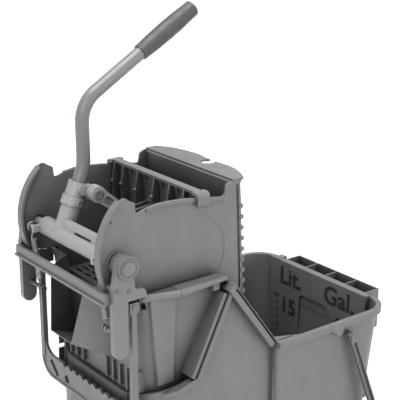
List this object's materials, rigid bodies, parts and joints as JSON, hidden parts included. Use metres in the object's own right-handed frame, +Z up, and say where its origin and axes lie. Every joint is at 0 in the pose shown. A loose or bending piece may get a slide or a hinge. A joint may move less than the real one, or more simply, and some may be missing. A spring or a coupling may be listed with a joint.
{
  "type": "mop bucket with wringer",
  "caption": "Two-compartment wheeled mop bucket: a lift-out front bucket with pouring spout and a side-press wringer worked by a cranked handle, over a rear clean-water tub.",
  "frame": {"origin": "on the floor under the middle of the object's box", "axes": "+X from the pouring end to the rear tub, +Y across, +Z up"},
  "size_m": [0.675, 0.422, 0.9121],
  "materials": {
    "body_plastic": "grey moulded polypropylene, fine grain",
    "light_plastic": "lighter grey moulded nylon, satin",
    "cast_paint": "warm light grey powder coat on cast metal",
    "tube_paint": "light grey powder coat on steel tube",
    "grip_rubber": "dark grey moulded grip, satin",
    "dark_plastic": "dark grey nylon",
    "fork_steel": "zinc-plated pressed steel",
    "tyre_rubber": "dark grey non-marking rubber",
    "spring_steel": "bright plated wire",
    "zinc_steel": "zinc-plated steel"
  },
  "bodies": {
    "base": {"base_tub": "body_plastic", "swivel_sockets": "dark_plastic", "rear_bail_pins": "body_plastic"},
    "rear_bail": {"rear_bail": "body_plastic"},
    "front_bucket": {"front_bucket": "body_plastic", "front_bail_pins": "body_plastic"},
    "front_bail": {"front_bail": "body_plastic"},
    "wringer": {"wringer_frame": "body_plastic", "drain_grid": "light_plastic", "wringer_bracket": "light_plastic", "bracket_screws": "light_plastic", "shaft_bushes": "dark_plastic", "pivot_caps": "light_plastic", "spring_pegs": "light_plastic", "return_spring_near": "spring_steel", "return_spring_far": "spring_steel"},
    "handle": {"yoke": "cast_paint", "socket_collar": "cast_paint", "clamp_screw": "zinc_steel", "handle_tube": "tube_paint", "handle_grip": "grip_rubber", "crank_pin": "zinc_steel"},
    "push_link": {"push_link": "cast_paint", "plate_pin": "zinc_steel"},
    "press_plate": {"press_plate": "body_plastic", "plate_clevis": "body_plastic", "clevis_screws": "zinc_steel"},
    "swivel_front_near": {"caster_fork_front_near": "fork_steel", "axle_front_near": "zinc_steel"},
    "wheel_front_near": {"wheel_hub_front_near": "light_plastic", "tyre_front_near": "tyre_rubber"},
    "swivel_front_far": {"caster_fork_front_far": "fork_steel", "axle_front_far": "zinc_steel"},
    "wheel_front_far": {"wheel_hub_front_far": "light_plastic", "tyre_front_far": "tyre_rubber"},
    "swivel_rear_near": {"caster_fork_rear_near": "fork_steel", "axle_rear_near": "zinc_steel"},
    "wheel_rear_near": {"wheel_hub_rear_near": "light_plastic", "tyre_rear_near": "tyre_rubber"},
    "swivel_rear_far": {"caster_fork_rear_far": "fork_steel", "axle_rear_far": "zinc_steel"},
    "wheel_rear_far": {"wheel_hub_rear_far": "light_plastic", "tyre_rear_far": "tyre_rubber"}
  },
  "joints": [
    {"name": "bucket_lift", "type": "slide", "parent": "base", "child": "front_bucket", "axis": [0, 0, 1], "range_m": [0, 0.25]},
    {"name": "wringer_lift", "type": "slide", "parent": "front_bucket", "child": "wringer", "axis": [0, 0, 1], "range_m": [0, 0.2]},
    {"name": "front_bail_swing", "type": "hinge", "parent": "front_bucket", "child": "front_bail", "pos_m": [-0.2815, 0, 0.451], "axis": [0, 1, 0], "range_deg": [0, 5]},
    {"name": "rear_bail_swing", "type": "hinge", "parent": "base", "child": "rear_bail", "pos_m": [0.1885, 0, 0.282], "axis": [0, 1, 0], "range_deg": [-158, 0]},
    {"name": "handle_swing", "type": "hinge", "parent": "wringer", "child": "handle", "pos_m": [-0.2945, 0, 0.525], "axis": [0, 1, 0], "range_deg": [0, 24.5], "stiffness_Nm_per_rad": 9, "springref_deg": -20.05, "deforming": ["return_spring_near", "return_spring_far"]},
    {"name": "link_swing", "type": "hinge", "parent": "handle", "child": "push_link", "pos_m": [-0.24236, 0, 0.59836], "axis": [0, 1, 0], "range_deg": [-45.7, 0]},
    {"name": "plate_slide", "type": "slide", "parent": "wringer", "child": "press_plate", "axis": [1, 0, 0], "range_m": [0, 0.0403]},
    {"name": "swivel_front_near", "type": "hinge", "parent": "base", "child": "swivel_front_near", "pos_m": [-0.2125, -0.128, 0.079], "axis": [0, 0, 1], "continuous": true},
    {"name": "roll_front_near", "type": "hinge", "parent": "swivel_front_near", "child": "wheel_front_near", "pos_m": [-0.1905, -0.128, 0.03], "axis": [0, 1, 0], "continuous": true},
    {"name": "swivel_front_far", "type": "hinge", "parent": "base", "child": "swivel_front_far", "pos_m": [-0.2125, 0.128, 0.079], "axis": [0, 0, 1], "continuous": true},
    {"name": "roll_front_far", "type": "hinge", "parent": "swivel_front_far", "child": "wheel_front_far", "pos_m": [-0.1905, 0.128, 0.03], "axis": [0, 1, 0], "continuous": true},
    {"name": "swivel_rear_near", "type": "hinge", "parent": "base", "child": "swivel_rear_near", "pos_m": [0.2015, -0.136, 0.079], "axis": [0, 0, 1], "continuous": true},
    {"name": "roll_rear_near", "type": "hinge", "parent": "swivel_rear_near", "child": "wheel_rear_near", "pos_m": [0.2235, -0.136, 0.03], "axis": [0, 1, 0], "continuous": true},
    {"name": "swivel_rear_far", "type": "hinge", "parent": "base", "child": "swivel_rear_far", "pos_m": [0.2015, 0.136, 0.079], "axis": [0, 0, 1], "continuous": true},
    {"name": "roll_rear_far", "type": "hinge", "parent": "swivel_rear_far", "child": "wheel_rear_far", "pos_m": [0.2235, 0.136, 0.03], "axis": [0, 1, 0], "continuous": true}
  ],
  "couplings": [
    {"joint": "plate_slide", "follows": "handle_swing", "m_per_rad": 0.09375},
    {"joint": "link_swing", "follows": "handle_swing", "ratio": -1.8462}
  ]
}
